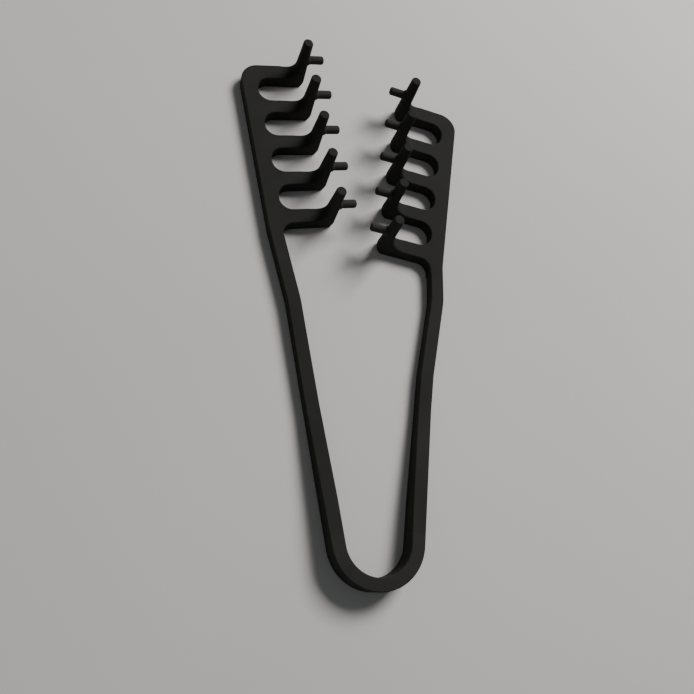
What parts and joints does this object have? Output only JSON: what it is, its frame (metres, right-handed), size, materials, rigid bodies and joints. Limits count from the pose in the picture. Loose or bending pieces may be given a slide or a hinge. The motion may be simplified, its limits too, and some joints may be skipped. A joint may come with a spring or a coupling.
{
  "type": "finger exerciser",
  "caption": "Matte black plastic squeeze tongs: a springy U-shaped strip whose arms end in flat combs of upturned fingers with small pegs, which mesh when squeezed",
  "frame": {"origin": "on the resting face, halfway along the tongs and midway across them", "axes": "+Y from the bow towards the combs, +Z from the flat back towards the tips of the prongs, +X towards the shorter arm, which carries the lower comb"},
  "size_m": [0.0798, 0.1776, 0.0189],
  "materials": {
    "spring_plastic": "matte black, very slightly warm",
    "arm_plastic": "matte black, very slightly warm",
    "comb_plastic": "matte black, very slightly warm",
    "prong_plastic": "matte black, very slightly warm",
    "peg_plastic": "matte black, very slightly warm"
  },
  "bodies": {
    "bow": {"bow_crown": "spring_plastic"},
    "left_limb": {"left_bow_limb": "spring_plastic"},
    "left_arm": {"left_lower_arm": "arm_plastic"},
    "left_tong": {"left_upper_arm": "arm_plastic", "left_shoulder": "arm_plastic", "left_comb_spine": "comb_plastic", "left_finger_1": "comb_plastic", "left_prong_1": "prong_plastic", "left_peg_1": "peg_plastic", "left_finger_2": "comb_plastic", "left_prong_2": "prong_plastic", "left_peg_2": "peg_plastic", "left_finger_3": "comb_plastic", "left_prong_3": "prong_plastic", "left_peg_3": "peg_plastic", "left_finger_4": "comb_plastic", "left_prong_4": "prong_plastic", "left_peg_4": "peg_plastic", "left_finger_5": "comb_plastic", "left_prong_5": "prong_plastic", "left_peg_5": "peg_plastic"},
    "right_limb": {"right_bow_limb": "spring_plastic"},
    "right_arm": {"right_lower_arm": "arm_plastic"},
    "right_tong": {"right_upper_arm": "arm_plastic", "right_shoulder": "arm_plastic", "right_comb_spine": "comb_plastic", "right_finger_1": "comb_plastic", "right_prong_1": "prong_plastic", "right_peg_1": "peg_plastic", "right_finger_2": "comb_plastic", "right_prong_2": "prong_plastic", "right_peg_2": "peg_plastic", "right_finger_3": "comb_plastic", "right_prong_3": "prong_plastic", "right_peg_3": "peg_plastic", "right_finger_4": "comb_plastic", "right_prong_4": "prong_plastic", "right_peg_4": "peg_plastic", "right_finger_5": "comb_plastic", "right_prong_5": "prong_plastic", "right_peg_5": "peg_plastic"}
  },
  "joints": [
    {"name": "left_bow_flex", "type": "hinge", "parent": "bow", "child": "left_limb", "pos_m": [-0.00687, -0.08317, 0.00225], "axis": [0, 0, -1], "range_deg": [-1.4, 3.5], "stiffness_Nm_per_rad": 7.2},
    {"name": "left_limb_flex", "type": "hinge", "parent": "left_limb", "child": "left_arm", "pos_m": [-0.01224, -0.06343, 0.00225], "axis": [0, 0, -1], "range_deg": [-1.2, 2.9]},
    {"name": "left_arm_flex", "type": "hinge", "parent": "left_arm", "child": "left_tong", "pos_m": [-0.01657, -0.03577, 0.00225], "axis": [0, 0, -1], "range_deg": [-0.7, 1.7]},
    {"name": "right_bow_flex", "type": "hinge", "parent": "bow", "child": "right_limb", "pos_m": [0.00967, -0.08317, 0.00225], "axis": [0, 0, 1], "range_deg": [-1.4, 3.5], "stiffness_Nm_per_rad": 7.2},
    {"name": "right_limb_flex", "type": "hinge", "parent": "right_limb", "child": "right_arm", "pos_m": [0.01504, -0.06343, 0.00225], "axis": [0, 0, 1], "range_deg": [-1.2, 2.9]},
    {"name": "right_arm_flex", "type": "hinge", "parent": "right_arm", "child": "right_tong", "pos_m": [0.01937, -0.03577, 0.00225], "axis": [0, 0, 1], "range_deg": [-0.7, 1.7]}
  ],
  "couplings": [
    {"joint": "left_limb_flex", "follows": "left_bow_flex", "ratio": 0.8},
    {"joint": "left_arm_flex", "follows": "left_bow_flex", "ratio": 0.45},
    {"joint": "right_limb_flex", "follows": "right_bow_flex", "ratio": 0.8},
    {"joint": "right_arm_flex", "follows": "right_bow_flex", "ratio": 0.45}
  ]
}
